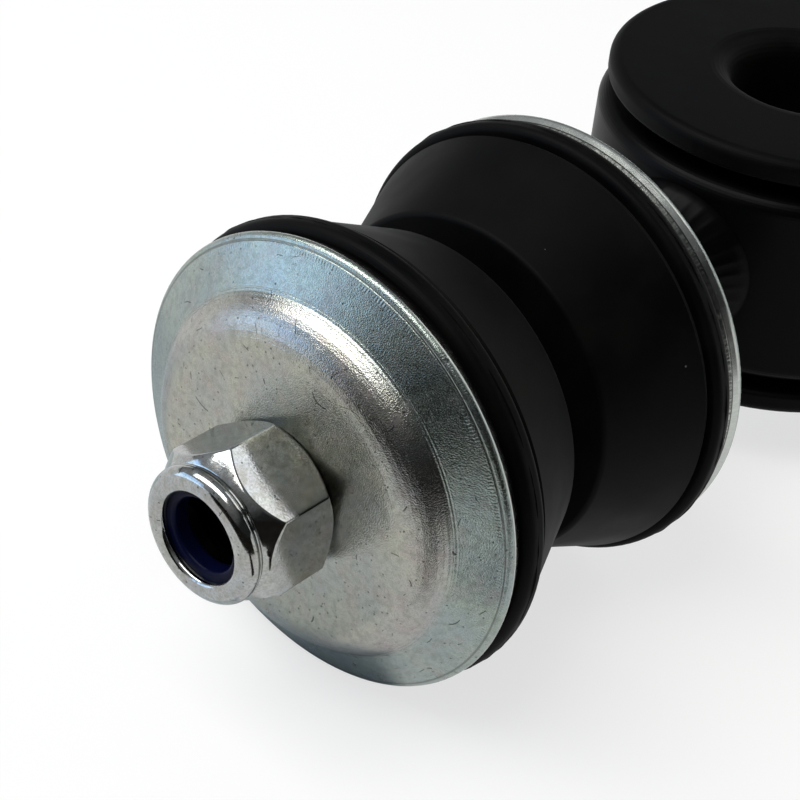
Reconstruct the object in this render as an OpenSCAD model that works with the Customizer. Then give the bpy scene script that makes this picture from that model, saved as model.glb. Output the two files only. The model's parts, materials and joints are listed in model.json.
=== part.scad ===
// Stabilizer link with one rubber-bushed eye and one rod end that carries a stack of
// cup washers and conical rubber grommets under a nylon-insert lock nut.
// Origin: centre of the eye. +Z: axis of the eye. +X: along the rod, from the eye to the nut.

/* [Eye] */
// Outside diameter of the eye ring
eye_od = 54.8; // [53:0.2:59]
// Wall of the eye ring
eye_wall = 6; // [4.5:0.5:7]
// Width of the eye ring along the eye axis
eye_width = 26.8; // [25:0.2:28]
// Round on the outer edges of the eye ring
eye_edge_r = 2; // [1:0.5:2.5]

/* [Eye bush] */
// Overall length of the rubber bush along the eye axis
bush_len = 37.8; // [36:0.2:44]
// Diameter of the two bush flanges
flange_d = 53.4; // [51:0.2:54]
// Thickness of a bush flange
flange_t = 3.3; // [2.8:0.1:4]
// Bore for the bolt that passes through the bush
bore_d = 20; // [16:0.5:22]
// Radius of the rounded entry at each end of the bore
entry_r = 3.4; // [2:0.1:4.5]
// Round on the edges of a bush flange
flange_edge_r = 1.4; // [0.8:0.1:1.8]

/* [Rod] */
// Diameter of the plain shank between the eye and the shoulder
shank_d = 16; // [14:0.5:20]
// Distance from the eye centre to the shoulder that carries the inner washer
shoulder_x = 44.5; // [40:0.5:60]
// Thread diameter of the stud
stud_d = 10; // [8:0.5:11]
// Length of the stud beyond the shoulder
stud_len = 62; // [60:0.5:63]
// Chamfer at the stud tip and at the shoulder
rod_chamfer = 1; // [0.5:0.1:1.5]
// Leg of the weld between the shank and the eye ring
weld_leg = 3.5; // [2.5:0.5:4]

/* [Cup washers] */
// Diameter of a cup washer, measured to the sharp corner of its edge
washer_d = 55.5; // [54:0.5:58]
// Sheet thickness
washer_t = 2.2; // [1.6:0.1:2.6]
// Diameter of the flat crown, measured to its sharp corner
crown_d = 39.4; // [38:0.2:40.4]
// Diameter of the crease between the rim and the shoulder
crease_d = 44; // [43:0.2:45]
// Rise of the conical rim from the edge to the crease
rim_rise = 3.1; // [2.6:0.1:3.4]
// Rise of the crown above the edge
crown_rise = 6.5; // [6:0.1:7]
// Outside round between the shoulder and the crown
crown_r = 6; // [5:0.1:7]
// Outside round in the crease
crease_r = 1.5; // [1:0.1:2]
// Die roll on the crown side of the edge
edge_roll_r = 0.7; // [0.3:0.1:1]
// Round on the burr side of the edge
edge_burr_r = 0.2; // [0.1:0.05:0.4]

/* [Grommets] */
// Distance between the outer edges of the two cup washers
stack_len = 42; // [41:0.2:44]
// Diameter of the lip beside the washer
lip_d = 55.8; // [55:0.2:58]
// Width of the lip along the rod
lip_w = 3; // [2.4:0.1:3.4]
// Round on the washer side of the lip
lip_top_r = 1.2; // [0.8:0.1:1.4]
// Round on the cone side of the lip
lip_foot_r = 0.9; // [0.5:0.1:1]
// Depth of the thin groove between the lip and the cone
lip_groove = 0.5; // [0.3:0.1:0.8]
// Diameter of the cone where it leaves the lip
cone_d = 53.6; // [52:0.2:54]
// Diameter of the cone at its narrow end
narrow_d = 42.8; // [40:0.2:45]
// Distance between the narrow faces, where the bar plate sits
seat_w = 5.2; // [4:0.2:7]
// Diameter of the nose that centres the bar plate
nose_d = 28.5; // [25:0.5:33]
// Round on the edge of the narrow end
narrow_edge_r = 0.8; // [0.4:0.1:1.2]
// Round on the edge of the nose
nose_edge_r = 0.6; // [0.3:0.1:1]

/* [Lock nut] */
// Width across the flats of the hexagon
nut_af = 17; // [16:0.5:18]
// Overall height of the nut
nut_h = 12.6; // [12.2:0.1:13]
// Height of the hexagon below the collar
hex_h = 8.2; // [7.6:0.1:8.6]
// Diameter of the turned face at each end of the hexagon
nut_face_d = 16.3; // [16:0.1:16.8]
// Diameter of the collar above the hexagon
collar_d = 16.2; // [15.6:0.1:16.6]
// Depth of the fine groove at the foot of the collar
collar_groove = 0.3; // [0.2:0.05:0.4]
// Wall of the collar around the insert
collar_wall = 1.1; // [0.9:0.05:1.3]
// Opening of the crimped lip
lip_hole_d = 10.9; // [10.5:0.1:11.4]
// Thickness of the crimped lip
lip_t = 1; // [0.8:0.1:1.2]
// Bore of the nylon insert before it meets the thread
insert_bore_d = 8.7; // [8.2:0.1:9]
// Height of the nylon insert
insert_h = 2.4; // [2:0.1:2.6]
// Round on the bore edges of the insert
insert_edge_r = 0.5; // [0.2:0.1:0.8]
// Lead chamfer at the mouth of the thread
thread_lead = 0.8; // [0.5:0.1:1]
// Angle of the chamfers on the hexagon
hex_chamfer = 28; // [20:1:34]

/* [Fits] */
// Radial clearance of everything that turns on the stud
run_gap = 0.1; // [0.05:0.01:0.1]
// Clearance between a grommet, a washer and the shoulder
seat_gap = 0.3; // [0.2:0.05:0.4]
// Clearance of the nut above the washer and of the insert in its pocket
nut_gap = 0.1; // [0.05:0.01:0.15]
// Clearance of the rod end and its weld on the eye ring
weld_gap = 0.04; // [0.03:0.01:0.08]

/* [Hidden] */
$fn = 96;
ARC_STEPS = 8;
EYE_COLOR = "#1b1b1d";
RUBBER_COLOR = "#17171a";
ZINC_COLOR = "#b9bdba";
NYLON_COLOR = "#14163f";

// Washer outline: hole, crown corner, crease and edge, as radius and height above the edge
hole_r = stud_d / 2 + run_gap;
edge_r = washer_d / 2;
dish_corners = [[hole_r, crown_rise], [crown_d / 2, crown_rise], [crease_d / 2, rim_rise], [edge_r, 0]];

// Places along the rod: each piece seats on the one before it
inner_crown_x = shoulder_x + seat_gap;
inner_edge_x = inner_crown_x + crown_rise;
outer_edge_x = inner_edge_x + stack_len;
nut_x = outer_edge_x + crown_rise + nut_gap;

// Eye and bush
eye_r = eye_od / 2;
eye_bore_r = eye_r - eye_wall;
eye_half = eye_width / 2;
bush_half = bush_len / 2;

// Nut: corner of the hexagon, pocket of the insert
hex_corner_r = nut_af / 2 / cos(30);
pocket_floor = nut_h - lip_t - insert_h - nut_gap;
pocket_r = collar_d / 2 - collar_wall;
collar_crown_r = (collar_d - lip_hole_d) / 4;

function unit(v) = v / norm(v);

// Arc that rounds the corner p between the points a and b
function round_corner(a, p, b, r) =
    let (
        u = unit(a - p),
        v = unit(b - p),
        half = acos(u * v) / 2,
        centre = p + unit(u + v) * r / sin(half),
        first = p + u * r / tan(half) - centre,
        last = p + v * r / tan(half) - centre,
        start = atan2(first.y, first.x),
        sweep = (atan2(last.y, last.x) - start + 540) % 360 - 180,
        angles = [for (i = [0 : ARC_STEPS]) start + sweep * i / ARC_STEPS]
    )
    [for (t = angles) centre + r * [cos(t), sin(t)]];

// Closed path through the corners, with the given round at each; a round of 0 keeps the corner sharp
function round_path(corners, rounds) = [
    for (i = [0 : len(corners) - 1])
        each rounds[i] > 0
            ? round_corner(
                corners[(i + len(corners) - 1) % len(corners)],
                corners[i],
                corners[(i + 1) % len(corners)],
                rounds[i]
            )
            : [corners[i]]
];

function reverse(path) = [for (i = [len(path) - 1 : -1 : 0]) path[i]];

// Normal of the stretch from a to b, on its right-hand side
function side(a, b) =
    let (t = unit(b - a))
    [t.y, -t.x];

// Corner of the path moved sideways by d
function shifted_corner(path, i, d) =
    let (
        n1 = side(path[max(i - 1, 0)], path[max(i, 1)]),
        n2 = side(path[min(i, len(path) - 2)], path[min(i + 1, len(path) - 1)])
    )
    path[i] + d * (n1 + n2) / (1 + n1 * n2);

// Corners of the dish at depth d below its outside, measured square to the sheet
function dish_at(d) = [for (i = [0 : len(dish_corners) - 1]) shifted_corner(dish_corners, i, d)];

// Surface of the dish at depth d, with its shoulder and crease rounded
function dish_path(d) = round_path(dish_at(d), [0, crown_r - d, crease_r + d, 0]);

// Turns a shape made along Z so that it lies along +X or -X at the place x
module on_rod(x, flip = false) {
    translate([x, 0, 0])
        rotate([0, flip ? -90 : 90, 0])
            children();
}

// Shouldered rod; its eye end is cut to sit on the round of the eye ring
module link_rod() {
    shank_r = shank_d / 2;
    stud_r = stud_d / 2;
    tip_x = shoulder_x + stud_len;
    color(EYE_COLOR)
        difference() {
            on_rod(0)
                rotate_extrude()
                    polygon([
                        [0, 0],
                        [shank_r, 0],
                        [shank_r, shoulder_x - rod_chamfer],
                        [shank_r - rod_chamfer, shoulder_x],
                        [stud_r, shoulder_x],
                        [stud_r, tip_x - rod_chamfer],
                        [stud_r - rod_chamfer, tip_x],
                        [0, tip_x]
                    ]);
            cylinder(h = eye_width + shank_d, r = eye_r + weld_gap, center = true);
        }
}

// Welded steel ring with rounded outer edges
module eye_ring() {
    section = round_path(
        [[eye_bore_r, -eye_half], [eye_r, -eye_half], [eye_r, eye_half], [eye_bore_r, eye_half]],
        [0, eye_edge_r, eye_edge_r, 0]
    );
    color(EYE_COLOR)
        rotate_extrude()
            polygon(section);
}

// Fillet weld all round the shank, cut to the eye ring it sits on
module weld_bead() {
    shank_r = shank_d / 2;
    toe_r = shank_r + weld_leg;
    foot_x = sqrt(eye_r * eye_r - toe_r * toe_r);
    color(EYE_COLOR)
        difference() {
            on_rod(0)
                rotate_extrude()
                    polygon(round_path(
                        [[shank_r, foot_x], [toe_r, foot_x], [toe_r, eye_r], [shank_r, eye_r + weld_leg]],
                        [0, 0, weld_leg / 2, 0]
                    ));
            cylinder(h = eye_width, r = eye_r + weld_gap, center = true);
        }
}

// Flanged rubber bush, the same at both ends
module eye_bush() {
    bore_r = bore_d / 2;
    flange_r = flange_d / 2;
    flange_under = bush_half - flange_t;
    upper = round_path(
        [
            [eye_bore_r, 0], [eye_bore_r, flange_under], [flange_r, flange_under],
            [flange_r, bush_half], [bore_r, bush_half], [bore_r, 0]
        ],
        [0, 0, flange_edge_r / 2, flange_edge_r, entry_r, 0]
    );
    lower = [for (p = upper) [p.x, -p.y]];
    color(RUBBER_COLOR)
        rotate_extrude()
            polygon(concat(upper, reverse(lower)));
}

// Pressed cup washer: edge at height 0, crown up
module cup_washer() {
    section = round_path(
        concat(dish_at(0), reverse(dish_at(washer_t))),
        [0, crown_r, crease_r, edge_roll_r, edge_burr_r, crease_r + washer_t, crown_r - washer_t, 0]
    );
    rotate_extrude()
        polygon(section);
}

// Moulded grommet: wide end fills the washer, narrow end carries the nose
module grommet() {
    lip_r = lip_d / 2;
    wide_end = dish_path(washer_t + seat_gap);
    lip_top = wide_end[len(wide_end) - 1].y;
    lip_foot = lip_top - lip_w;
    cone_r = cone_d / 2;
    narrow_face = -(stack_len - seat_w) / 2;
    nose_face = -(stack_len - seat_gap) / 2;
    flank = round_path(
        [
            wide_end[len(wide_end) - 1], [lip_r, lip_top], [lip_r, lip_foot], [cone_r - lip_groove, lip_foot],
            [cone_r, lip_foot - 2 * lip_groove], [narrow_d / 2, narrow_face], [nose_d / 2, narrow_face],
            [nose_d / 2, nose_face], [hole_r, nose_face]
        ],
        [0, lip_top_r, lip_foot_r, 0, 0, narrow_edge_r, 0, nose_edge_r, 0]
    );
    rotate_extrude()
        polygon(concat(wide_end, flank));
}

module inner_cup_washer() {
    color(ZINC_COLOR)
        on_rod(inner_edge_x, flip = true)
            cup_washer();
}

module outer_cup_washer() {
    color(ZINC_COLOR)
        on_rod(outer_edge_x)
            cup_washer();
}

module inner_grommet() {
    color(RUBBER_COLOR)
        on_rod(inner_edge_x, flip = true)
            grommet();
}

module outer_grommet() {
    color(RUBBER_COLOR)
        on_rod(outer_edge_x)
            grommet();
}

// Hexagon with turned chamfers, and a collar crimped over the insert
module lock_nut() {
    face_r = nut_face_d / 2;
    collar_r = collar_d / 2;
    groove_r = collar_r - collar_groove;
    lip_hole_r = lip_hole_d / 2;
    chamfer_rise = (hex_corner_r - face_r) * tan(hex_chamfer);
    color(ZINC_COLOR)
        on_rod(nut_x)
            difference() {
                union() {
                    intersection() {
                        cylinder(h = hex_h, r = hex_corner_r, $fn = 6);
                        rotate_extrude()
                            polygon([
                                [0, 0], [face_r, 0], [hex_corner_r, chamfer_rise],
                                [hex_corner_r, hex_h - chamfer_rise], [face_r, hex_h], [0, hex_h]
                            ]);
                    }
                    rotate_extrude()
                        polygon(round_path(
                            [
                                [0, hex_h / 2], [groove_r, hex_h / 2], [groove_r, hex_h + collar_groove],
                                [collar_r, hex_h + 2 * collar_groove], [collar_r, nut_h], [lip_hole_r, nut_h],
                                [lip_hole_r, nut_h - lip_t], [0, nut_h - lip_t]
                            ],
                            [0, 0, 0, 0, collar_crown_r, lip_t / 3, 0, 0]
                        ));
                }
                translate([0, 0, -1])
                    cylinder(h = nut_h + 2, r = hole_r);
                cylinder(h = thread_lead, r1 = hole_r + thread_lead, r2 = hole_r);
                translate([0, 0, pocket_floor])
                    cylinder(h = insert_h + nut_gap, r = pocket_r);
            }
}

// Nylon ring held in the pocket under the crimped lip
module nylon_insert() {
    bore_r = insert_bore_d / 2;
    color(NYLON_COLOR)
        on_rod(nut_x + pocket_floor + nut_gap / 2)
            rotate_extrude()
                polygon(round_path(
                    [[bore_r, 0], [pocket_r - nut_gap, 0], [pocket_r - nut_gap, insert_h], [bore_r, insert_h]],
                    [insert_edge_r, 0, 0, insert_edge_r]
                ));
}

link_rod();
eye_ring();
weld_bead();
eye_bush();
inner_cup_washer();
inner_grommet();
outer_grommet();
outer_cup_washer();
lock_nut();
nylon_insert();
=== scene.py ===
# %% [markdown]
# # A stabilizer link on a pale studio floor
#
# The link ties a vehicle's stabilizer bar to its axle. One end is an eye with a rubber bush. The other
# end is a stud that carries two cup washers, two conical rubber grommets and a lock nut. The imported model
# is loaded first. It is the fixed frame: its solids stay where they are, and this lesson dresses them.

# %% Load the frame
import json
import math
import bmesh
import bpy
from mathutils import Matrix, Quaternion, Vector, noise


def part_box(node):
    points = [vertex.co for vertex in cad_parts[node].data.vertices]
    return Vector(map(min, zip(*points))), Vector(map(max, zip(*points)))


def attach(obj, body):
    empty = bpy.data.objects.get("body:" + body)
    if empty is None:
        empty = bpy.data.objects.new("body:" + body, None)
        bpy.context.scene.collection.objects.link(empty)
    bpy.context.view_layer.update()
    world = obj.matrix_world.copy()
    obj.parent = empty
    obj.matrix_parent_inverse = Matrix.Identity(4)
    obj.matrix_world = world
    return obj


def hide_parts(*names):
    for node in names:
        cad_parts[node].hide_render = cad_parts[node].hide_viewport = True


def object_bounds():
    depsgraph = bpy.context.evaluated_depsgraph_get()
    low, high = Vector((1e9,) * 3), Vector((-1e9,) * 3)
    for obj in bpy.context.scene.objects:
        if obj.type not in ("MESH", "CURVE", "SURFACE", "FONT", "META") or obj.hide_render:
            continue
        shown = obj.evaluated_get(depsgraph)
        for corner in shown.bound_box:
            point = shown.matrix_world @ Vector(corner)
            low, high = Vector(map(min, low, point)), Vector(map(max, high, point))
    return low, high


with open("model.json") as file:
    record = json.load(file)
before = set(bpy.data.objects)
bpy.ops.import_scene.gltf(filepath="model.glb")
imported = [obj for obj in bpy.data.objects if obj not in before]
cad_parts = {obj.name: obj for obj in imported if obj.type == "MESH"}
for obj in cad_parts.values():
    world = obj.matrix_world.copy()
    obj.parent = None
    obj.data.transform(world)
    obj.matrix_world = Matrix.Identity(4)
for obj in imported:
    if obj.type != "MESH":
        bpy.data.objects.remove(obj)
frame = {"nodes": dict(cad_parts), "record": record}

cad_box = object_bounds()
nodes = frame["nodes"]
print("nodes:", ", ".join(sorted(nodes)))
print("CAD box in mm:", [round(1000 * x, 1) for corner in cad_box for x in corner])

# %% [markdown]
# ## Where things are
#
# The rod lies along X and the eye stands along Z. The sizes that the pieces below need are read from the
# boxes of the solids where a box shows them. A few that lie inside a solid are written here as real
# sizes.

# %% Sizes that the pieces share
MM = 0.001
eye_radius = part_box("eye_ring")[1].x
shank_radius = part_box("link_rod")[1].y
stud_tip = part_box("link_rod")[1].x
inner_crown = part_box("inner_cup_washer")[0].x
edge_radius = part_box("outer_cup_washer")[1].y
groove_middle = (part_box("inner_grommet")[1].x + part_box("outer_grommet")[0].x) / 2

edge_from_middle = 21.0 * MM    # from the middle of the groove to the outer side of a washer's edge
edge_wall_run = 1.94 * MM       # what the sheared edge takes up along the rod
crease_radius = 22.0 * MM       # where the rim of a washer bends into its shoulder
stud_radius = 5 * MM
seat_gap = 0.3 * MM             # play between the rod's shoulder and the inner washer
shoulder = inner_crown - seat_gap
nut_pitch = 2 * math.pi / frame["record"]["behaviour"]["couplings"][0]["ratio"]
print("shoulder at", round(shoulder / MM, 2), "mm, thread pitch", round(nut_pitch / MM, 3), "mm")

# %% [markdown]
# ## The camera
#
# The photograph looks down on the nut from the front right, a little rolled. A camera that was fitted to
# the rims of the washers, the nut and the eye stands about a quarter of a metre away behind a 94.5 mm
# lens. It is aimed at a point on the stack and then rolled about its own line of sight, which is easier
# to read than three angles.

# %% Camera
camera_place = Vector((233.8, 120.2, 142.5)) * MM
camera_aim = Vector((77.1, -2.6, -0.1)) * MM
camera_roll = math.radians(6.4)
camera_data = bpy.data.cameras.new("portrait_camera")
camera_data.lens = 94.5
camera_data.sensor_width = 36
camera_data.clip_start = 0.01
camera = bpy.data.objects.new("portrait_camera", camera_data)
bpy.context.scene.collection.objects.link(camera)
line_of_sight = camera_aim - camera_place
camera.location = camera_place
camera.rotation_mode = "QUATERNION"
camera.rotation_quaternion = line_of_sight.to_track_quat("-Z", "Y") @ Quaternion((0, 0, 1), camera_roll)
bpy.context.scene.camera = camera
print("camera stands", round(line_of_sight.length, 3), "m from what it looks at")

# %% [markdown]
# ## Helpers for finishes
#
# Colours are chosen as sRGB hex codes, as on a colour card, and Blender's shaders want linear values. The
# second helper adds one node, gives it its settings, and sets or links its inputs. The others start an
# empty material and turn a real size into the scale of a pattern.

# %% Colour and node helpers
def linear(hex_code):
    """Linear RGBA of an sRGB hex colour."""
    channels = [int(hex_code[i:i + 2], 16) / 255 for i in (1, 3, 5)]
    curve = [c / 12.92 if c <= 0.04045 else ((c + 0.055) / 1.055) ** 2.4 for c in channels]
    return (*curve, 1.0)


def add_node(tree, kind, inputs=None, **settings):
    """Adds a node with its settings; each input takes a value or the output of another node."""
    new = tree.nodes.new(kind)
    for name, value in settings.items():
        setattr(new, name, value)
    for key, value in (inputs or {}).items():
        if isinstance(value, bpy.types.NodeSocket):
            tree.links.new(value, new.inputs[key])
        else:
            new.inputs[key].default_value = value
    return new


def new_material(name):
    """An empty material: its node tree, the place that it is read at, and its output."""
    material = bpy.data.materials.new(name)
    material.use_nodes = True
    tree = material.node_tree
    tree.nodes.clear()
    place = add_node(tree, "ShaderNodeTexCoord").outputs["Object"]
    output = add_node(tree, "ShaderNodeOutputMaterial")
    return material, tree, place, output


def per_metre(size_mm):
    """Texture scale at which one feature of the pattern is this many millimetres wide."""
    return 1 / (size_mm * MM)


print("linear mid grey:", round(linear("#808080")[0], 3))

# %% [markdown]
# ## Tints of bright zinc plate
#
# The washers are pressed from sheet and the nut is cold-formed. Both are zinc-plated and passivated in a
# bath that leaves a thin clear film. The film gives the eye a faint drift of olive, blue and violet
# tints, and the zinc under it grows as fine crystals, which sparkle. A picture of real zinc would show a
# seam on a round piece, so the tints are layers of noise, each laid over the one before it. The washers
# and the nut share them.

# %% Tints of the zinc film
drift_mm, mottle_mm = 6, 0.9


def zinc_tints(tree, place, tints, stain, grain):
    """Colour of the film: a drift between two tints, then stains, dark speckles and a fine mottle."""
    drift = add_node(tree, "ShaderNodeTexNoise", {
        "Vector": place, "Scale": per_metre(drift_mm), "Detail": 3.0})
    mottle = add_node(tree, "ShaderNodeTexNoise", {
        "Vector": place, "Scale": per_metre(mottle_mm), "Detail": 3.0})
    # Each layer: its pattern, where the layer starts and where it is full, its strength and its colour
    layers = [
        (drift, 0.42, 0.62, 1.0, tints[1]),
        (stain, 0.48, 0.68, 0.7, tints[2]),
        (grain, 0.40, 0.70, 0.45, "#777973"),
        (mottle, 0.46, 0.66, 0.5, "#83857c"),
    ]
    colour = linear(tints[0])
    for pattern, starts, full, strength, tint in layers:
        share = add_node(tree, "ShaderNodeMapRange", {
            "Value": pattern.outputs["Fac"], "From Min": starts, "From Max": full, "To Max": strength})
        laid = add_node(tree, "ShaderNodeMix", {
            "Factor": share.outputs["Result"], "A": colour, "B": linear(tint)}, data_type="RGBA")
        colour = laid.outputs["Result"]
    return colour


print("the tints drift over", drift_mm, "mm and mottle over", mottle_mm, "mm")

# %% [markdown]
# ## Pits and scratches in the zinc
#
# Handling leaves small dark pits and short scratches. The pits are the middles of Voronoi cells, and only
# some of the cells have one. A scratch is a short piece of a contour line in a noise field, kept where a
# second noise is high. Both are drawn in the material, because they are finer than any mesh of the
# washer.

# %% Marks in the zinc film
pit_spacing_mm, swirl_mm, wear_mm = 0.9, 7, 2.2


def zinc_marks(tree, place):
    """Pits and short scratches: 1 on a mark and 0 beside it."""
    pit_cells = add_node(tree, "ShaderNodeTexVoronoi", {"Vector": place, "Scale": per_metre(pit_spacing_mm)})
    pit_round = add_node(tree, "ShaderNodeMapRange", {
        "Value": pit_cells.outputs["Distance"], "From Min": 0.07, "From Max": 0.18,
        "To Min": 1.0, "To Max": 0.0})
    pit_draw = add_node(tree, "ShaderNodeSeparateColor", {"Color": pit_cells.outputs["Color"]})
    pit_kept = add_node(tree, "ShaderNodeMath", {0: pit_draw.outputs["Red"], 1: 0.55},
                        operation="GREATER_THAN")
    pits = add_node(tree, "ShaderNodeMath", {
        0: pit_round.outputs["Result"], 1: pit_kept.outputs["Value"]}, operation="MULTIPLY")

    swirl = add_node(tree, "ShaderNodeTexNoise", {
        "Vector": place, "Scale": per_metre(swirl_mm), "Detail": 0.0})
    contour = add_node(tree, "ShaderNodeMath", {0: swirl.outputs["Fac"], 1: 0.06}, operation="PINGPONG")
    on_line = add_node(tree, "ShaderNodeMath", {0: contour.outputs["Value"], 1: 0.0042},
                       operation="LESS_THAN")
    worn = add_node(tree, "ShaderNodeTexNoise", {"Vector": place, "Scale": per_metre(wear_mm), "Detail": 1.0})
    worn_here = add_node(tree, "ShaderNodeMath", {0: worn.outputs["Fac"], 1: 0.65}, operation="GREATER_THAN")
    scratches = add_node(tree, "ShaderNodeMath", {
        0: on_line.outputs["Value"], 1: worn_here.outputs["Value"]}, operation="MULTIPLY")

    marks = add_node(tree, "ShaderNodeMath", {
        0: pits.outputs["Value"], 1: scratches.outputs["Value"]}, operation="MAXIMUM")
    return marks.outputs["Value"]


print("at most", round((10 / pit_spacing_mm) ** 2), "pits in a square centimetre")

# %% [markdown]
# ## The whole film
#
# The film joins its tints and its marks. The marks are dark and sunk, the crystals stand up, and a stain
# is a little duller than clean zinc. Colour, height and roughness go back to the shader that asks for
# them.

# %% Film of zinc
stain_mm = 2.4


def zinc_film(tree, place, tints, grain_mm, roughness):
    """Colour, height and roughness of passivated zinc; heights are in units of the sparkle's depth."""
    stain = add_node(tree, "ShaderNodeTexNoise", {
        "Vector": place, "Scale": per_metre(stain_mm), "Detail": 4.0})
    grain = add_node(tree, "ShaderNodeTexNoise", {
        "Vector": place, "Scale": per_metre(grain_mm), "Detail": 2.0})
    marks = zinc_marks(tree, place)
    mark_share = add_node(tree, "ShaderNodeMath", {0: marks, 1: 0.75}, operation="MULTIPLY")
    marked = add_node(tree, "ShaderNodeMix", {
        "Factor": mark_share.outputs["Value"], "A": zinc_tints(tree, place, tints, stain, grain),
        "B": linear("#23221f")}, data_type="RGBA")
    height = add_node(tree, "ShaderNodeMath", {0: marks, 1: -0.4, 2: grain.outputs["Fac"]},
                      operation="MULTIPLY_ADD")
    dulled = add_node(tree, "ShaderNodeMapRange", {
        "Value": stain.outputs["Fac"], "From Min": 0.3, "From Max": 0.7,
        "To Min": roughness - 0.04, "To Max": roughness + 0.06})
    return marked.outputs["Result"], height.outputs["Value"], dulled.outputs["Result"]


print("a stain is about", stain_mm, "mm wide")

# %% [markdown]
# ## Where a point of a washer lies
#
# A washer shows how it was pressed, and all the marks of the press follow circles about the rod. They are
# drawn by radius, by angle and by the distance from the middle of the stack, which makes both washers
# alike although they face opposite ways.

# %% Circles on a washer
edge_mm = edge_radius / MM
crease_mm = crease_radius / MM


def washer_place(tree, place):
    """Radius in mm, angle, and distance in metres from the middle of the stack."""
    parts = add_node(tree, "ShaderNodeSeparateXYZ", {"Vector": place})
    across = add_node(tree, "ShaderNodeVectorMath", {0: place, 1: (0, 1 / MM, 1 / MM)}, operation="MULTIPLY")
    radius = add_node(tree, "ShaderNodeVectorMath", {0: across.outputs["Vector"]}, operation="LENGTH")
    angle = add_node(tree, "ShaderNodeMath", {0: parts.outputs["Z"], 1: parts.outputs["Y"]},
                     operation="ARCTAN2")
    along = add_node(tree, "ShaderNodeMath", {0: parts.outputs["X"], 1: groove_middle}, operation="SUBTRACT")
    from_middle = add_node(tree, "ShaderNodeMath", {0: along.outputs["Value"]}, operation="ABSOLUTE")
    return radius.outputs["Value"], angle.outputs["Value"], from_middle.outputs["Value"]


def ring_band(tree, radius, ring_mm, full_mm, faded_mm):
    """1 within full_mm of a circle about the rod, fading to 0 at faded_mm from it."""
    beside = add_node(tree, "ShaderNodeMath", {0: radius, 1: ring_mm}, operation="SUBTRACT")
    distance = add_node(tree, "ShaderNodeMath", {0: beside.outputs["Value"]}, operation="ABSOLUTE")
    band = add_node(tree, "ShaderNodeMapRange", {
        "Value": distance.outputs["Value"], "From Min": full_mm, "From Max": faded_mm,
        "To Min": 1.0, "To Max": 0.0})
    return band.outputs["Result"]


print("a washer's crease is at radius", round(crease_mm, 2), "mm and its edge at", round(edge_mm, 2), "mm")

# %% [markdown]
# ## The sheared edge of a washer
#
# The sheared edge has two bands: a wide one that the punch burnished, and a narrow grey one where the
# sheet tore, with a painted dark line of shade under the burr between them. Streaks run across both in
# the direction of the shear. They are noise on the unrolled edge, so that they stay straight all the way
# round.

# %% Sheared edge
streak_mm, streak_run_mm = 0.35, 1.2


def sheared_edge(tree, angle, from_middle):
    """Where the sheared edge is, its colour and its height."""
    depth = add_node(tree, "ShaderNodeMapRange", {
        "Value": from_middle, "From Min": edge_from_middle, "From Max": edge_from_middle - edge_wall_run},
        clamp=False).outputs["Result"]
    on_wall = add_node(tree, "ShaderNodeMath", {0: depth, 1: 0.15}, operation="GREATER_THAN")
    torn_zone = add_node(tree, "ShaderNodeMapRange", {"Value": depth, "From Min": 0.62, "From Max": 0.68})
    # Where the painted line of shade lies, between the burnished and the torn band
    painted_shade_line = add_node(tree, "ShaderNodeMath", {0: depth, 1: 0.63, 2: 0.035}, operation="COMPARE")

    round_edge = add_node(tree, "ShaderNodeMath", {0: angle, 1: edge_mm / streak_mm}, operation="MULTIPLY")
    across_edge = add_node(tree, "ShaderNodeMath", {0: from_middle, 1: per_metre(streak_run_mm)},
                           operation="MULTIPLY")
    unrolled = add_node(tree, "ShaderNodeCombineXYZ", {
        "X": round_edge.outputs["Value"], "Y": across_edge.outputs["Value"]})
    streaks = add_node(tree, "ShaderNodeTexNoise", {
        "Vector": unrolled.outputs["Vector"], "Scale": 1.0, "Detail": 3.0})

    burnished = add_node(tree, "ShaderNodeMix", {
        "Factor": streaks.outputs["Fac"], "A": linear("#c2c6c1"), "B": linear("#a6a9a6")}, data_type="RGBA")
    torn_streaks = add_node(tree, "ShaderNodeMapRange", {
        "Value": streaks.outputs["Fac"], "From Min": 0.35, "From Max": 0.65})
    torn = add_node(tree, "ShaderNodeMix", {
        "Factor": torn_streaks.outputs["Result"], "A": linear("#a3a59f"), "B": linear("#5d605d")},
        data_type="RGBA")
    bands = add_node(tree, "ShaderNodeMix", {
        "Factor": torn_zone.outputs["Result"], "A": burnished.outputs["Result"], "B": torn.outputs["Result"]},
        data_type="RGBA")
    # Painted shade: a dark line between the two bands
    shade_line_share = add_node(tree, "ShaderNodeMath", {0: painted_shade_line.outputs["Value"], 1: 0.8},
                          operation="MULTIPLY")
    colour = add_node(tree, "ShaderNodeMix", {
        "Factor": shade_line_share.outputs["Value"], "A": bands.outputs["Result"], "B": linear("#2c2d2b")},
        data_type="RGBA")
    height = add_node(tree, "ShaderNodeMath", {
        0: streaks.outputs["Fac"], 1: torn_zone.outputs["Result"]}, operation="MULTIPLY")
    return on_wall.outputs["Value"], colour.outputs["Result"], height.outputs["Value"]


print("the sheared edge is", round(edge_wall_run / MM, 2), "mm wide along the rod")

# %% [markdown]
# ## Marks of the press
#
# The punch leaves fine rings in the crease. Beside the edge there is a rolled line, and along it a row of
# short ticks where the die gripped the sheet. The rings are a wave by radius and the ticks a wave by
# angle. Each is shown only in its own band, and the ticks come and go with noise as the grip did.

# %% Rings and ticks
tick_count, ticks_from_edge_mm = 420, 1.15
line_from_edge_mm = 0.65
ring_spacing_mm = 0.34


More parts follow.
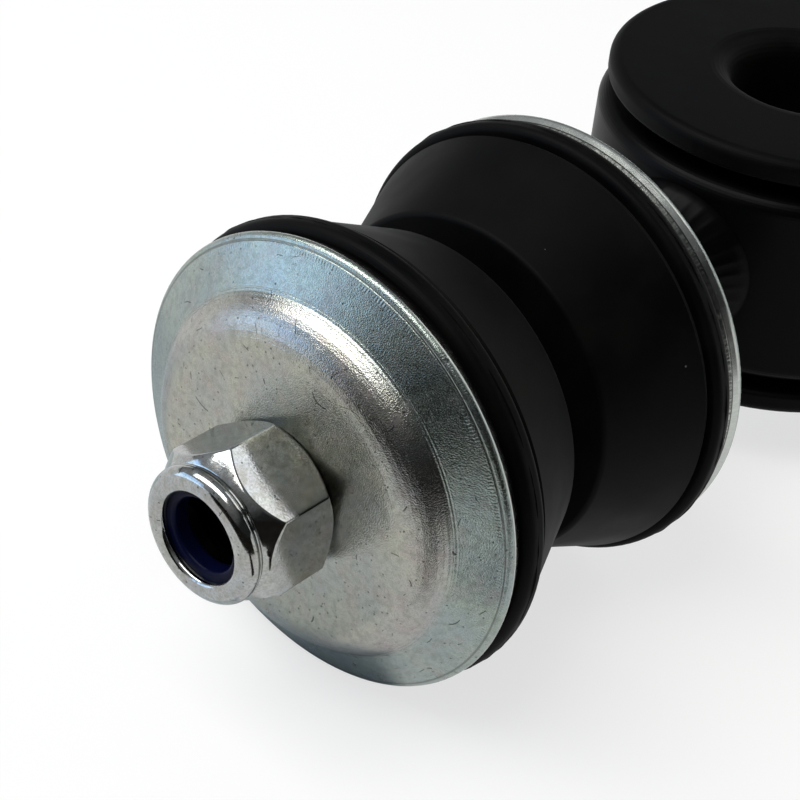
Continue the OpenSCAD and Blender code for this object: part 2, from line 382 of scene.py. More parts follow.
def die_ticks(tree, place, radius, angle):
    """A broken row of ticks beside the edge."""
    row = ring_band(tree, radius, edge_mm - ticks_from_edge_mm, full_mm=0.14, faded_mm=0.26)
    turn = add_node(tree, "ShaderNodeMath", {0: angle, 1: tick_count}, operation="MULTIPLY")
    wave = add_node(tree, "ShaderNodeMath", {0: turn.outputs["Value"]}, operation="SINE")
    patch = add_node(tree, "ShaderNodeTexNoise", {"Vector": place, "Scale": per_metre(4), "Detail": 2.0})
    gripped = add_node(tree, "ShaderNodeMapRange", {
        "Value": patch.outputs["Fac"], "From Min": 0.42, "From Max": 0.60})
    shown = add_node(tree, "ShaderNodeMath", {0: row, 1: gripped.outputs["Result"]}, operation="MULTIPLY")
    ticks = add_node(tree, "ShaderNodeMath", {
        0: shown.outputs["Value"], 1: wave.outputs["Value"]}, operation="MULTIPLY")
    return ticks.outputs["Value"]


def crease_rings(tree, radius):
    """Fine rings that the punch left in the crease."""
    band = ring_band(tree, radius, crease_mm, full_mm=0.2, faded_mm=0.7)
    turn = add_node(tree, "ShaderNodeMath", {0: radius, 1: 2 * math.pi / ring_spacing_mm},
                    operation="MULTIPLY")
    wave = add_node(tree, "ShaderNodeMath", {0: turn.outputs["Value"]}, operation="SINE")
    rings = add_node(tree, "ShaderNodeMath", {0: band, 1: wave.outputs["Value"]}, operation="MULTIPLY")
    return rings.outputs["Value"]


print("a tick every", round(2 * math.pi * edge_mm / tick_count, 2), "mm round the edge")

# %% [markdown]
# ## Painted reflection tints of the rim and the shoulder
#
# The rim is painted bluer and the shoulder a little violet. This is painted reflection: the colours that
# these zones mirror, laid into the film's colour. Two soft zones by radius multiply the colour of the
# film, so that its pattern shows through.

# %% Painted reflection tints of the rim and the shoulder
def painted_reflection_by_radius(tree, radius, colour):
    """The film's colour with painted reflection: bluer on the rim and more violet on the shoulder."""
    rim = add_node(tree, "ShaderNodeMapRange", {
        "Value": radius, "From Min": crease_mm - 0.6, "From Max": crease_mm + 0.4})
    rise = add_node(tree, "ShaderNodeMapRange", {
        "Value": radius, "From Min": crease_mm - 4.5, "From Max": crease_mm - 3.0})
    violet_reflection_zone = add_node(tree, "ShaderNodeMath", {
        0: rise.outputs["Result"], 1: rim.outputs["Result"]}, operation="SUBTRACT")
    # Painted reflection: the rim is tinted blue and the shoulder violet, as the colours that they mirror
    painted_blue_reflection = add_node(tree, "ShaderNodeMix", {
        "Factor": rim.outputs["Result"], "A": colour, "B": linear("#e8f6fc")},
        data_type="RGBA", blend_type="MULTIPLY")
    painted_violet_reflection = add_node(tree, "ShaderNodeMix", {
        "Factor": violet_reflection_zone.outputs["Value"], "A": painted_blue_reflection.outputs["Result"], "B": linear("#fbf9fe")},
        data_type="RGBA", blend_type="MULTIPLY")
    return painted_violet_reflection.outputs["Result"]


print("the rim's tint begins", round(crease_mm - 0.6, 1), "mm from the rod's axis")

# %% [markdown]
# ## Zinc on the pressed washers
#
# Now the washer's finish is put together: the film, its painted reflection tints by radius, the marks of
# the press with painted shade in the rolled line, and the sheared edge. The heights become one bump,
# whose distance is about the depth of the rolled line. The rest is a plain metal shader.

# %% Pressed zinc
def pressed_zinc_plate(name):
    """Zinc plate on pressed sheet, with the marks of the press."""
    material, tree, place, output = new_material(name)
    film, film_height, roughness = zinc_film(
        tree, place, tints=("#a9aa9e", "#a0a39f", "#a8a09a"), grain_mm=0.16, roughness=0.22)
    radius, angle, from_middle = washer_place(tree, place)
    on_wall, wall_colour, wall_height = sheared_edge(tree, angle, from_middle)
    rolled_line_and_shade = ring_band(tree, radius, edge_mm - line_from_edge_mm, full_mm=0.06, faded_mm=0.16)

    # The rolled line is a real sunk line in the bump, and its dark colour is painted shade in that groove
    shade_line_share = add_node(tree, "ShaderNodeMath", {0: rolled_line_and_shade, 1: 0.55}, operation="MULTIPLY")
    lined = add_node(tree, "ShaderNodeMix", {
        "Factor": shade_line_share.outputs["Value"], "A": painted_reflection_by_radius(tree, radius, film),
        "B": linear("#4a4b48")}, data_type="RGBA")
    edged = add_node(tree, "ShaderNodeMix", {
        "Factor": on_wall, "A": lined.outputs["Result"], "B": wall_colour}, data_type="RGBA")

    # Each mark with its height in units of the sparkle's depth; the rolled line is sunk
    sheet_height = film_height
    for mark, rise in ((die_ticks(tree, place, radius, angle), 0.3), (crease_rings(tree, radius), 0.4),
                       (rolled_line_and_shade, -0.9)):
        sheet_height = add_node(tree, "ShaderNodeMath", {0: mark, 1: rise, 2: sheet_height},
                                operation="MULTIPLY_ADD").outputs["Value"]
    height = add_node(tree, "ShaderNodeMix", {
        "Factor": on_wall, "A": sheet_height, "B": wall_height}, data_type="FLOAT")
    bump = add_node(tree, "ShaderNodeBump", {
        "Height": height.outputs["Result"], "Strength": 1.0, "Distance": 0.045 * MM})
    shader = add_node(tree, "ShaderNodeBsdfPrincipled", {
        "Base Color": edged.outputs["Result"], "Metallic": 1.0, "Roughness": roughness,
        "Normal": bump.outputs["Normal"]})
    tree.links.new(shader.outputs["BSDF"], output.inputs["Surface"])
    return material


pressed_zinc = pressed_zinc_plate("zinc_plate_on_pressed_sheet")
print("made", pressed_zinc.name, "with", len(pressed_zinc.node_tree.nodes), "nodes")

# %% [markdown]
# ## Zinc on the nut
#
# The flats of the nut were drawn through a die as hexagonal bar, so fine lines run along the rod. The
# film over them is brighter and smoother than on the sheet. The lines are noise that a Mapping node
# stretches along X.

# %% Cold-formed zinc
def formed_zinc_plate(name):
    """Zinc plate on the cold-formed nut, with fine drawn lines."""
    material, tree, place, output = new_material(name)
    colour, film_height, roughness = zinc_film(
        tree, place, tints=("#a9aba8", "#a2a6aa", "#9e9a96"), grain_mm=0.25, roughness=0.10)
    along = add_node(tree, "ShaderNodeMapping", {"Vector": place, "Scale": (0.04, 1.0, 1.0)})
    drawn = add_node(tree, "ShaderNodeTexNoise", {
        "Vector": along.outputs["Vector"], "Scale": per_metre(0.25), "Detail": 2.0})
    height = add_node(tree, "ShaderNodeMath", {0: drawn.outputs["Fac"], 1: 0.6, 2: film_height},
                      operation="MULTIPLY_ADD")
    bump = add_node(tree, "ShaderNodeBump", {
        "Height": height.outputs["Value"], "Strength": 1.0, "Distance": 0.004 * MM})
    shader = add_node(tree, "ShaderNodeBsdfPrincipled", {
        "Base Color": colour, "Metallic": 1.0, "Roughness": roughness, "Normal": bump.outputs["Normal"]})
    tree.links.new(shader.outputs["BSDF"], output.inputs["Surface"])
    return material


formed_zinc = formed_zinc_plate("zinc_plate_on_cold_formed_nut")
print("made", formed_zinc.name, "with", len(formed_zinc.node_tree.nodes), "nodes")

# %% [markdown]
# ## Moulded rubber
#
# The grommets and the bush are black rubber, moulded in a smooth steel tool. The eye sees a deep black
# with a soft sheen where light grazes it, a faint brownish bloom, and a few specks of pale dust. The
# specks are the middles of a few Voronoi cells, drawn a little larger than real dust so that they show.

# %% Rubber
def moulded_rubber(name):
    """Black moulded rubber with a faint bloom and specks of dust."""
    material, tree, place, output = new_material(name)
    bloom = add_node(tree, "ShaderNodeTexNoise", {"Vector": place, "Scale": per_metre(8), "Detail": 5.0})
    skin = add_node(tree, "ShaderNodeTexNoise", {"Vector": place, "Scale": per_metre(0.5), "Detail": 3.0})
    bloom_share = add_node(tree, "ShaderNodeMapRange", {
        "Value": bloom.outputs["Fac"], "From Min": 0.42, "From Max": 0.72})
    black = add_node(tree, "ShaderNodeMix", {
        "Factor": bloom_share.outputs["Result"], "A": linear("#020203"), "B": linear("#080706")},
        data_type="RGBA")

    dust_cells = add_node(tree, "ShaderNodeTexVoronoi", {"Vector": place, "Scale": per_metre(4.0)})
    dust_round = add_node(tree, "ShaderNodeMath", {0: dust_cells.outputs["Distance"], 1: 0.035},
                          operation="LESS_THAN")
    dust_draw = add_node(tree, "ShaderNodeSeparateColor", {"Color": dust_cells.outputs["Color"]})
    dust_kept = add_node(tree, "ShaderNodeMath", {0: dust_draw.outputs["Red"], 1: 0.7},
                         operation="GREATER_THAN")
    dust = add_node(tree, "ShaderNodeMath", {
        0: dust_round.outputs["Value"], 1: dust_kept.outputs["Value"]}, operation="MULTIPLY")
    dusty = add_node(tree, "ShaderNodeMix", {
        "Factor": dust.outputs["Value"], "A": black.outputs["Result"], "B": linear("#5c5c60")},
        data_type="RGBA")

    bump = add_node(tree, "ShaderNodeBump", {
        "Height": skin.outputs["Fac"], "Strength": 0.15, "Distance": 0.05 * MM})
    dulled = add_node(tree, "ShaderNodeMapRange", {
        "Value": bloom.outputs["Fac"], "From Min": 0.3, "From Max": 0.7, "To Min": 0.46, "To Max": 0.60})
    shader = add_node(tree, "ShaderNodeBsdfPrincipled", {
        "Base Color": dusty.outputs["Result"], "Roughness": dulled.outputs["Result"], "IOR": 1.5,
        "Specular IOR Level": 0.05, "Sheen Weight": 0.03, "Sheen Roughness": 0.35,
        "Normal": bump.outputs["Normal"]})
    tree.links.new(shader.outputs["BSDF"], output.inputs["Surface"])
    return material


rubber = moulded_rubber("black_rubber_moulded")
print("made", rubber.name, "with", len(rubber.node_tree.nodes), "nodes")

# %% [markdown]
# ## Black paint on the eye
#
# The eye ring, the rod and their weld are dipped or sprayed in one coat of black paint. It flows before
# it sets, so it has a satin gloss with a faint orange-peel ripple. The ripple is a fine bump, too shallow
# to be worth modelling.

# %% Paint
def black_paint(name):
    """Black paint with a faint orange peel."""
    material, tree, place, output = new_material(name)
    peel = add_node(tree, "ShaderNodeTexNoise", {"Vector": place, "Scale": per_metre(1.1), "Detail": 2.0})
    cloud = add_node(tree, "ShaderNodeTexNoise", {"Vector": place, "Scale": per_metre(12), "Detail": 3.0})
    black = add_node(tree, "ShaderNodeMix", {
        "Factor": cloud.outputs["Fac"], "A": linear("#020203"), "B": linear("#050506")}, data_type="RGBA")
    bump = add_node(tree, "ShaderNodeBump", {
        "Height": peel.outputs["Fac"], "Strength": 0.2, "Distance": 0.04 * MM})
    dulled = add_node(tree, "ShaderNodeMapRange", {
        "Value": cloud.outputs["Fac"], "From Min": 0.3, "From Max": 0.7, "To Min": 0.30, "To Max": 0.42})
    shader = add_node(tree, "ShaderNodeBsdfPrincipled", {
        "Base Color": black.outputs["Result"], "Roughness": dulled.outputs["Result"],
        "IOR": 1.5, "Specular IOR Level": 0.05, "Normal": bump.outputs["Normal"]})
    tree.links.new(shader.outputs["BSDF"], output.inputs["Surface"])
    return material


paint = black_paint("black_paint_sprayed_on_steel")
print("made", paint.name, "with", len(paint.node_tree.nodes), "nodes")

# %% [markdown]
# ## Blue nylon
#
# The insert is a dark blue nylon ring. Moulded nylon is smooth and a little waxy, with faint flow clouds,
# which one broad noise gives to the colour and to the bump alike.

# %% Nylon
def blue_nylon(name):
    """Dark blue moulded nylon."""
    material, tree, place, output = new_material(name)
    flow = add_node(tree, "ShaderNodeTexNoise", {"Vector": place, "Scale": per_metre(1.6), "Detail": 3.0})
    blue = add_node(tree, "ShaderNodeMix", {
        "Factor": flow.outputs["Fac"], "A": linear("#03040f"), "B": linear("#070b2c")}, data_type="RGBA")
    bump = add_node(tree, "ShaderNodeBump", {
        "Height": flow.outputs["Fac"], "Strength": 0.1, "Distance": 0.05 * MM})
    shader = add_node(tree, "ShaderNodeBsdfPrincipled", {
        "Base Color": blue.outputs["Result"], "Roughness": 0.3, "IOR": 1.53, "Specular IOR Level": 0.04,
        "Normal": bump.outputs["Normal"]})
    tree.links.new(shader.outputs["BSDF"], output.inputs["Surface"])
    return material


nylon = blue_nylon("blue_nylon_moulded")
print("made", nylon.name, "with", len(nylon.node_tree.nodes), "nodes")

# %% [markdown]
# ## Dress the solids
#
# Each solid keeps its shape and gets the finish of the real piece in its material slot. Three of them are
# replaced further down by finer pieces, and are dressed all the same so that no solid is left bare.

# %% Finishes on the solids
finishes = {
    "outer_cup_washer": pressed_zinc, "inner_cup_washer": pressed_zinc, "lock_nut": formed_zinc,
    "nylon_insert": nylon, "outer_grommet": rubber, "inner_grommet": rubber, "eye_bush": rubber,
    "eye_ring": paint, "link_rod": paint, "weld_bead": paint,
}
for name, finish in finishes.items():
    nodes[name].data.materials.clear()
    nodes[name].data.materials.append(finish)
print("dressed", len(finishes), "solids")

# %% [markdown]
# ## Turned pieces
#
# The rod, its thread, its weld, the nut and the flash on the rubber are all round about the rod. Each is
# drawn as a short outline beside the axis and spun round it, as on a lathe. One helper spins and one
# finishes a piece.

# %% Helpers for turned pieces
def spun(outline, steps, closed=False):
    """A bmesh spun about the X axis from an outline of (place along the rod, radius)."""
    shape = bmesh.new()
    points = [shape.verts.new((x, r, 0)) for x, r in outline]
    pairs = list(zip(points, points[1:])) + ([(points[-1], points[0])] if closed else [])
    edges = [shape.edges.new(pair) for pair in pairs]
    bmesh.ops.spin(shape, geom=points + edges, cent=(0, 0, 0), axis=(1, 0, 0), dvec=(0, 0, 0),
                   angle=2 * math.pi, steps=steps, use_merge=True)
    bmesh.ops.remove_doubles(shape, verts=shape.verts, dist=1e-7)
    return shape


def finished(shape, name, body, finish, sharp_degrees=35):
    """Turns a bmesh into a smooth-shaded piece that rides on a body."""
    bmesh.ops.recalc_face_normals(shape, faces=shape.faces)
    mesh = bpy.data.meshes.new(name)
    shape.to_mesh(mesh)
    shape.free()
    mesh.shade_smooth()
    mesh.set_sharp_from_angle(angle=math.radians(sharp_degrees))
    mesh.materials.append(finish)
    piece = bpy.data.objects.new(name, mesh)
    bpy.context.scene.collection.objects.link(piece)
    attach(piece, body)
    print(name, "has", len(mesh.polygons), "faces")
    return piece


print("turned pieces lie between", round(eye_radius / MM, 1), "and", round(stud_tip / MM, 1), "mm along X")

# %% [markdown]
# ## The rod
#
# The solid model has a plain stud. The real one is threaded where the nut runs, and that shows in the
# nut's mouth and when the nut is backed off. The core is turned first: the shank, the shoulder, the plain
# stud, and then the root of the thread as far as the chamfered tip.

# %% Core of the rod
thread_height = 0.61                    # in pitches
thread_root = stud_radius - thread_height * nut_pitch
tip_chamfer = 1.0 * MM
thread_turns, bare_tip = 20, 0.6        # bare_tip is in pitches
thread_start = stud_tip - (thread_turns + bare_tip) * nut_pitch
step_back, step_front = 0.5 * MM, 0.4 * MM      # cone from the plain stud to the root
rod_end = eye_radius - 3 * MM           # inside the wall of the eye ring
shoulder_chamfer = 1 * MM
rod = spun([
    (rod_end, 0), (rod_end, shank_radius), (shoulder - shoulder_chamfer, shank_radius),
    (shoulder, shank_radius - shoulder_chamfer), (shoulder, stud_radius),
    (thread_start - step_back, stud_radius), (thread_start + step_front, thread_root),
    (stud_tip - 0.5 * tip_chamfer, thread_root), (stud_tip, thread_root - 0.5 * tip_chamfer),
    (stud_tip, 0)], steps=72)
print("thread runs from", round(thread_start / MM, 1), "mm, root radius", round(thread_root / MM, 2), "mm")

# %% [markdown]
# ## The thread
#
# The thread is a ridge whose outline is spun with a step along the rod at every turn, which makes a
# helix. A Screw modifier would do the same, but a mesh can be trimmed: the ridge runs out to nothing at
# its start and follows the chamfer at the tip. Its foot is sunk a little into the core so that no gap
# shows.

# %% Threaded rod
ridge_steps = 36
ridge_foot, ridge_crest, ridge_sunk = 0.46, 0.07, 0.08      # half widths and depth, in pitches
ridge_outline = [(-ridge_foot, -ridge_sunk), (-ridge_crest, thread_height),
                 (ridge_crest, thread_height), (ridge_foot, -ridge_sunk)]
thread = bmesh.new()
ridge = [thread.verts.new((thread_start + along * nut_pitch, thread_root + up * nut_pitch, 0))
         for along, up in ridge_outline]
ridge_loop = [thread.edges.new((ridge[i], ridge[(i + 1) % 4])) for i in range(4)]
bmesh.ops.spin(thread, geom=ridge + ridge_loop, cent=(0, 0, 0), axis=(1, 0, 0),
               dvec=(nut_pitch / ridge_steps, 0, 0), angle=2 * math.pi * thread_turns,
               steps=ridge_steps * thread_turns)
bmesh.ops.holes_fill(thread, edges=[e for e in thread.edges if e.is_boundary], sides=0)
for vert in thread.verts:
    radius_here = math.hypot(vert.co.y, vert.co.z)
    run_out = thread_root + thread_height * (vert.co.x - thread_start)
    chamfer = stud_radius - (vert.co.x - (stud_tip - tip_chamfer))
    allowed = max(min(stud_radius, run_out, chamfer), thread_root - ridge_sunk * nut_pitch)
    if radius_here > allowed:
        vert.co.y *= allowed / radius_here
        vert.co.z *= allowed / radius_here
thread_mesh = bpy.data.meshes.new("thread_ridge")
thread.to_mesh(thread_mesh)
thread.free()
rod.from_mesh(thread_mesh)
bpy.data.meshes.remove(thread_mesh)
threaded_rod = finished(rod, "threaded_rod", "link", paint)
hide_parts("link_rod")

# %% [markdown]
# ## The weld
#
# A hand-laid weld is a row of overlapping ripples, not a smooth fillet. A row of small beads could be
# joined round the rod, but one closed outline that is spun gives a clean skin. Every point is then
# shifted along the rod, because the eye ring that the weld sits on is round, and the outer points swell
# and sink with the angle to give the ripples.

# %% Rippled weld
weld_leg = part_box("weld_bead")[1].y - shank_radius
weld_ripples = 34
ripple_swell = 0.06 * MM
ripple_lead = 1.2           # angle by which a ripple trails in the middle of the bead
weld_outline = [(-0.10, -0.12), (-0.10, 0.97), (0.10, 0.95), (0.34, 0.78),      # in legs of the weld,
                (0.60, 0.52), (0.82, 0.26), (0.95, 0.04), (0.95, -0.12)]        # along and out from the rod
weld = spun([(along * weld_leg, shank_radius + out * weld_leg) for along, out in weld_outline],
            steps=weld_ripples * 8, closed=True)
for vert in weld.verts:
    radius_here = math.hypot(vert.co.y, vert.co.z)
    turn = math.atan2(vert.co.z, vert.co.y)
    depth = (radius_here - shank_radius) / weld_leg
    lead = ripple_lead * math.sin(math.pi * min(max(depth, 0), 1))
    ripple = 0.5 + 0.5 * math.sin(weld_ripples * turn - lead)
    swell = ripple_swell * (ripple ** 2 - 0.3) if 0.02 < depth < 0.9 else 0
    saddle = math.sqrt(eye_radius ** 2 - vert.co.y ** 2)
    stretch = (radius_here + swell) / radius_here
    vert.co = (vert.co.x + swell + saddle, vert.co.y * stretch, vert.co.z * stretch)
rippled_weld = finished(weld, "rippled_weld", "link", paint, sharp_degrees=60)
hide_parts("weld_bead")

# %% [markdown]
# ## The blank of the lock nut
#
# The nut is turned before it gets its flats. Its outline runs from the seat out to the corners, down the
# front chamfer, over two fine grooves at the foot of the collar, round the lip that is rolled in over the
# insert, and back through the insert's pocket and the bore. A corner of the solid nut says where the
# corners point.

# %% Turned blank of the nut
nut_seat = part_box("lock_nut")[0].x
nut_corner = max(nodes["lock_nut"].data.vertices, key=lambda v: math.hypot(v.co.y, v.co.z)).co.copy()
corner_radius = math.hypot(nut_corner.y, nut_corner.z)
corner_turn = math.atan2(nut_corner.z, nut_corner.y)
corner_mm = corner_radius / MM

# Millimetres from here on: places along the rod are from the seat, the others are radii
bore, bore_chamfer = 5.1, 0.5
seat_edge, back_corner, front_corner = 8.15, 1.45, 8.0
pocket_radius, pocket_floor, pocket_roof = 7.0, 9.1, 11.6
deep_groove, land, shallow_groove = 7.74, 7.95, 7.80
lip_bore, lip_top, lip_bend, lip_face = 5.45, 6.7, 1.4, 12.6
hexagon = [(0, bore + bore_chamfer), (0, seat_edge), (back_corner, corner_mm), (front_corner, corner_mm)]
collar_foot = [(10.30, 8.02), (10.42, deep_groove), (10.60, deep_groove), (10.68, land), (10.80, land),
               (10.88, shallow_groove), (11.02, shallow_groove), (11.10, 8.04)]
bends = [math.radians(degrees) for degrees in range(9, 91, 9)]
rolled_lip = [(lip_face - lip_bend + lip_bend * math.sin(bend), lip_top + lip_bend * math.cos(bend))
              for bend in bends]
mouth = [(12.56, 5.95), (12.40, 5.60), (12.15, lip_bore), (pocket_roof, lip_bore)]
inside = [(pocket_roof, pocket_radius), (pocket_floor, pocket_radius), (pocket_floor, bore),
          (bore_chamfer, bore)]
blank_outline = hexagon + collar_foot + rolled_lip + mouth + inside
nut_shape = spun([(nut_seat + x * MM, r * MM) for x, r in blank_outline], steps=120, closed=True)
print("blank of the nut has", len(nut_shape.faces), "faces; a corner points at",
      round(math.degrees(corner_turn)), "degrees")

# %% [markdown]
# ## The flats and the broken edges of the nut
#
# No cold-formed nut has knife edges. Its corners are tumbled and catch the light as thin bright lines.
# Two rings of the blank are pulled in to the six flats. Each ring stays on the cone of its chamfer, so
# the flats end in curved arcs. A Boolean of a hexagon and two cones gives the same arcs, but its long
# thin faces don't bevel well. Last, the corners and the arcs get a small bevel. Normals weighted by area
# keep the flats looking flat beside the bevels.

# %% Flats and broken edges of the nut
sixth, twelfth = math.radians(60), math.radians(30)
flat_radius = corner_radius * math.cos(twelfth)
back_slope = (back_corner * MM) / (corner_radius - seat_edge * MM)
front_slope = math.tan(math.radians(52))
broken_edge, hair = 0.2 * MM, 0.01 * MM
mid_flat = nut_seat + 0.5 * (back_corner + front_corner) * MM
for vert in nut_shape.verts:
    if math.hypot(vert.co.y, vert.co.z) < corner_radius - hair:
        continue
    turn = math.atan2(vert.co.z, vert.co.y)
    off_flat = (turn - corner_turn) % sixth - twelfth
    pulled = flat_radius / math.cos(off_flat)
    if vert.co.x < mid_flat:
        along = back_slope * (pulled - seat_edge * MM)
    else:
        along = front_corner * MM + front_slope * (corner_radius - pulled)
    vert.co = (nut_seat + along, pulled * math.cos(turn), pulled * math.sin(turn))
bmesh.ops.recalc_face_normals(nut_shape, faces=nut_shape.faces)
broken = [edge for edge in nut_shape.edges
          if edge.calc_face_angle() > math.radians(20)
          and min(math.hypot(v.co.y, v.co.z) for v in edge.verts) > flat_radius - 5 * hair]
bmesh.ops.bevel(nut_shape, geom=broken, offset=broken_edge, offset_type="OFFSET", segments=3, profile=0.5,
                affect="EDGES", clamp_overlap=True, material=-1)
bevelled_nut = finished(nut_shape, "bevelled_lock_nut", "nut", formed_zinc)
weighting = bevelled_nut.modifiers.new("flat_flats", "WEIGHTED_NORMAL")
weighting.keep_sharp = True
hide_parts("lock_nut")
print("broke", len(broken), "edges of the nut")

# %% [markdown]
# ## Flash on the grommets
#
# Each grommet is moulded in two halves of a tool that meet round the lip, and a thin ragged fin of rubber
# is left where they meet. A sharp little outline is spun round the lip, and its crest is raised and
# lowered by noise so that the fin is torn here and whole there.

# %% Mould flash
lip_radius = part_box("outer_grommet")[1].y
lip_behind_edge = 3.7 * MM
lip_from_middle = edge_from_middle - lip_behind_edge
fin_half_width, fin_foot, fin_crest = 0.14 * MM, 0.15 * MM, 0.2 * MM
mean_height, raggedness, tear_mm = 0.08, 0.16, 2.2
for grommet, body, way in (("inner_grommet", "inner_rubber", -1), ("outer_grommet", "outer_rubber", 1)):
    flash_x = groove_middle + way * lip_from_middle
    flash = spun([(flash_x - fin_half_width, lip_radius - fin_foot), (flash_x, lip_radius + fin_crest),
                  (flash_x + fin_half_width, lip_radius - fin_foot)], steps=360, closed=True)
    for vert in flash.verts:
        radius_here = math.hypot(vert.co.y, vert.co.z)
        if radius_here > lip_radius:
            ragged = noise.noise(Vector((vert.co.y, vert.co.z, 0.1 * way)) * per_metre(tear_mm))
            kept = lip_radius + (mean_height + raggedness * ragged) * MM
            vert.co.y *= kept / radius_here
            vert.co.z *= kept / radius_here
    finished(flash, grommet + "_flash", body, rubber)

# %% [markdown]
# ## The floor
#
# The link lies on a pale floor that fills the view and curves up far away, as a paper sweep does. Its
# outline is spun about the upright axis. The floor is seen partly as plain white, more so further away,
# which keeps the shadow faint without more light on the link.

# %% Floor
floor_drop = 0.4 * MM
floor_height = cad_box[0].z - floor_drop
floor_outline = [(0, 0), (5.0, 0), (5.5, 0.1), (5.9, 0.4), (6.0, 1.4)]      # metres out and up
floor_shape = bmesh.new()
floor_points = [floor_shape.verts.new((out, 0, floor_height + up)) for out, up in floor_outline]
floor_lines = [floor_shape.edges.new(pair) for pair in zip(floor_points, floor_points[1:])]
bmesh.ops.spin(floor_shape, geom=floor_points + floor_lines, cent=(0, 0, 0), axis=(0, 0, 1),
               angle=2 * math.pi, steps=96, use_merge=True)
bmesh.ops.remove_doubles(floor_shape, verts=floor_shape.verts, dist=1e-6)
bmesh.ops.recalc_face_normals(floor_shape, faces=floor_shape.faces)
floor_mesh = bpy.data.meshes.new("studio_floor")
floor_shape.to_mesh(floor_mesh)
floor_shape.free()
floor_mesh.shade_smooth()
floor = bpy.data.objects.new("studio_floor", floor_mesh)
bpy.context.scene.collection.objects.link(floor)
print("floor at", round(floor_height / MM, 1), "mm")

# %% White paper of the floor
floor_material, floor_tree, floor_place, floor_output = new_material("studio_floor_white_paper")
paper = add_node(floor_tree, "ShaderNodeBsdfDiffuse", {"Color": linear("#f4f4f3")})
plain_white = add_node(floor_tree, "ShaderNodeEmission", {"Color": linear("#ffffff"), "Strength": 1.0})
ray = add_node(floor_tree, "ShaderNodeLightPath")
seen_or_mirrored = add_node(floor_tree, "ShaderNodeMath", {
    0: ray.outputs["Is Camera Ray"], 1: ray.outputs["Is Glossy Ray"]}, operation="MAXIMUM")
seen_rays = add_node(floor_tree, "ShaderNodeMath", {
    0: seen_or_mirrored.outputs["Value"], 1: ray.outputs["Is Transmission Ray"]}, operation="MAXIMUM")
from_object = add_node(floor_tree, "ShaderNodeVectorMath", {0: floor_place}, operation="LENGTH")
white_share = add_node(floor_tree, "ShaderNodeMapRange", {
    "Value": from_object.outputs["Value"], "From Min": 0.25, "From Max": 1.0, "To Min": 0.7, "To Max": 1.0})
seen_white = add_node(floor_tree, "ShaderNodeMath", {
    0: seen_rays.outputs["Value"], 1: white_share.outputs["Result"]}, operation="MULTIPLY")
floor_shader = add_node(floor_tree, "ShaderNodeMixShader", {
    0: seen_white.outputs["Value"], 1: paper.outputs["BSDF"], 2: plain_white.outputs["Emission"]})
floor_tree.links.new(floor_shader.outputs["Shader"], floor_output.inputs["Surface"])
floor_mesh.materials.append(floor_material)
print("made", floor_material.name, "with", len(floor_tree.nodes), "nodes")

# %% [markdown]
# ## Cards for the zinc to mirror
#
# Bright metal looks like metal only when it mirrors something dark beside something light. Felt cards
# stand round the stack, out of the camera's sight: dark ones behind the camera and close at its right, a
# pale one at the back, and grey ones on the floor under the washer and at its left. They show in
# reflections alone, and take no light from the floor.

# %% Cards
card_centre = Vector((90, 0, 0)) * MM
dark_felt = "#2a2724"


def curved_card(name, felt_colour, outline, from_degrees, to_degrees):
    """A felt card spun part of the way round the stack from an outline of (out, up) in mm."""
    material, tree, _, output = new_material("felt_on_" + name)
    felt = add_node(tree, "ShaderNodeBsdfDiffuse", {"Color": linear(felt_colour)})
    tree.links.new(felt.outputs["BSDF"], output.inputs["Surface"])
    shape = bmesh.new()
    points = [shape.verts.new((card_centre.x + out * MM, card_centre.y, floor_height + up * MM))
              for out, up in outline]
    lines = [shape.edges.new(pair) for pair in zip(points, points[1:])]
    bmesh.ops.rotate(shape, verts=points, cent=card_centre,
                     matrix=Matrix.Rotation(math.radians(from_degrees), 3, "Z"))
    turn = to_degrees - from_degrees
    bmesh.ops.spin(shape, geom=points + lines, cent=card_centre, axis=(0, 0, 1),
                   angle=math.radians(turn), steps=24, use_merge=turn == 360)
    mesh = bpy.data.meshes.new(name)
    shape.to_mesh(mesh)
    shape.free()
    mesh.materials.append(material)
    card = bpy.data.objects.new(name, mesh)
    bpy.context.scene.collection.objects.link(card)
    card.visible_camera = False
    card.visible_shadow = False
    card.visible_diffuse = False


curved_card("front_card", dark_felt, [(165, 0.2), (330, 0.2), (330, 125)], from_degrees=-20, to_degrees=97)
curved_card("near_card", dark_felt, [(42, 4), (165, 4)], from_degrees=46, to_degrees=60)
curved_card("pale_card", "#f4f4f1", [(330, 0.2), (330, 250)], from_degrees=126, to_degrees=172)
curved_card("foot_card", "#c6ced4", [(0.5, 0.3), (14, 0.3)], from_degrees=-180, to_degrees=180)
curved_card("crown_card", "#d2d8dc", [(14, 0.3), (30, 0.3)], from_degrees=-125, to_degrees=15)
curved_card("left_card", "#c3cacd", [(30, 0.3), (95, 0.3)], from_degrees=-125, to_degrees=-71)
print("six cards stand round the stack for the zinc to mirror")

# %% [markdown]
# ## Lamps
#
# Soft lamps light the link as in a small product studio: a long one above the front, a cooler one at the
# left that the near rim mirrors, and a small one behind that draws the corners of the nut. Each is placed
# by the direction that it shines from, because that is what a highlight shows.

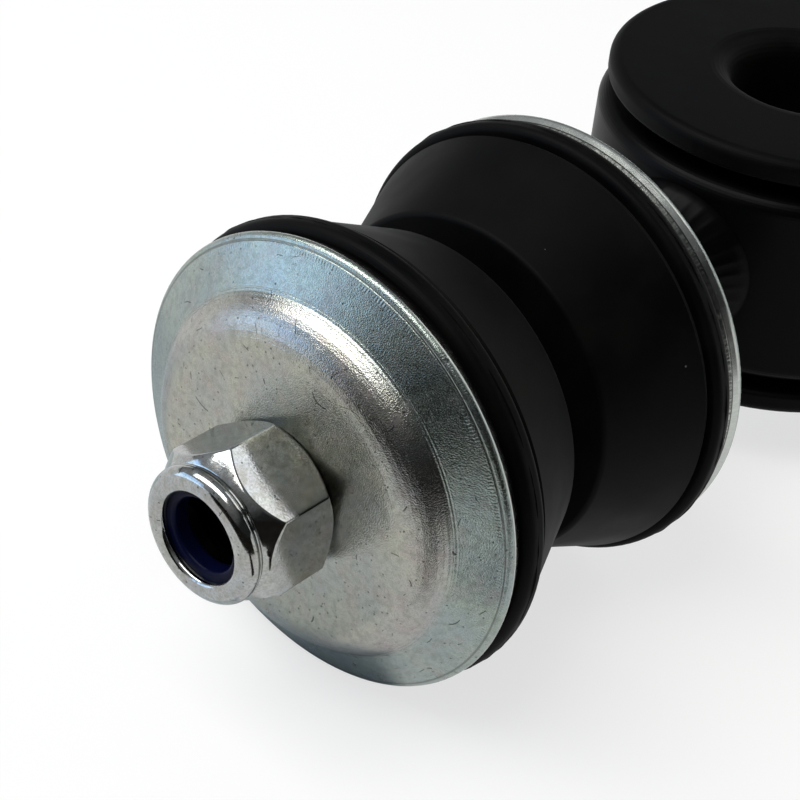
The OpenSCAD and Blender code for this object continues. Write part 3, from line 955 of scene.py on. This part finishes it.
# %% Lamps
def soft_lamp(name, direction, distance, length, width, power, colour):
    """A soft box that faces the stack from the given direction, with its length across the rod."""
    data = bpy.data.lights.new(name, "AREA")
    data.shape = "RECTANGLE"
    data.size = length
    data.size_y = width
    data.energy = power
    data.color = linear(colour)[:3]
    lamp = bpy.data.objects.new(name, data)
    bpy.context.scene.collection.objects.link(lamp)
    away = Vector(direction).normalized()
    across_rod = Vector((0, 1, 0))
    lengthwise = (across_rod - across_rod.dot(away) * away).normalized()
    lamp.location = camera_aim + away * distance
    lamp.rotation_mode = "QUATERNION"
    lamp.rotation_quaternion = Matrix((lengthwise, away.cross(lengthwise), away)).transposed().to_quaternion()


soft_lamp("main_lamp", (0.37, -0.28, 0.89), distance=0.8, length=0.90, width=0.36,
          power=6.8, colour="#fffefb")
soft_lamp("left_fill", (0.66, -0.72, 0.24), distance=0.9, length=0.60, width=0.40,
          power=1.5, colour="#aad2ff")
soft_lamp("back_lamp", (-0.62, 0.25, 0.74), distance=1.1, length=0.55, width=0.45,
          power=1.6, colour="#ffffff")
print("three soft lamps face", [round(x / MM, 1) for x in camera_aim], "mm")

# %% [markdown]
# ## The room
#
# The room is dim near the horizon and brighter above the front left, as under a large ceiling light that
# is turned down. A plain grey world would wash out the dark sides of the zinc.

# %% Room
bright_quarter = (0.3, -0.5, 0.81)
world = bpy.data.worlds.new("studio_room")
bpy.context.scene.world = world
world.use_nodes = True
room = world.node_tree
room.nodes.clear()
looking = add_node(room, "ShaderNodeTexCoord").outputs["Generated"]
bright_side = add_node(room, "ShaderNodeVectorMath", {0: looking, 1: bright_quarter}, operation="DOT_PRODUCT")
room_light = add_node(room, "ShaderNodeMapRange", {
    "Value": bright_side.outputs["Value"], "From Min": 0.2, "From Max": 0.9, "To Min": 0.03, "To Max": 0.5})
room_shader = add_node(room, "ShaderNodeBackground", {
    "Color": linear("#f4f7fa"), "Strength": room_light.outputs["Result"]})
add_node(room, "ShaderNodeOutputWorld", {"Surface": room_shader.outputs["Background"]})
bpy.context.scene.view_settings.view_transform = "Standard"
print("made", world.name, "with", len(room.nodes), "nodes")
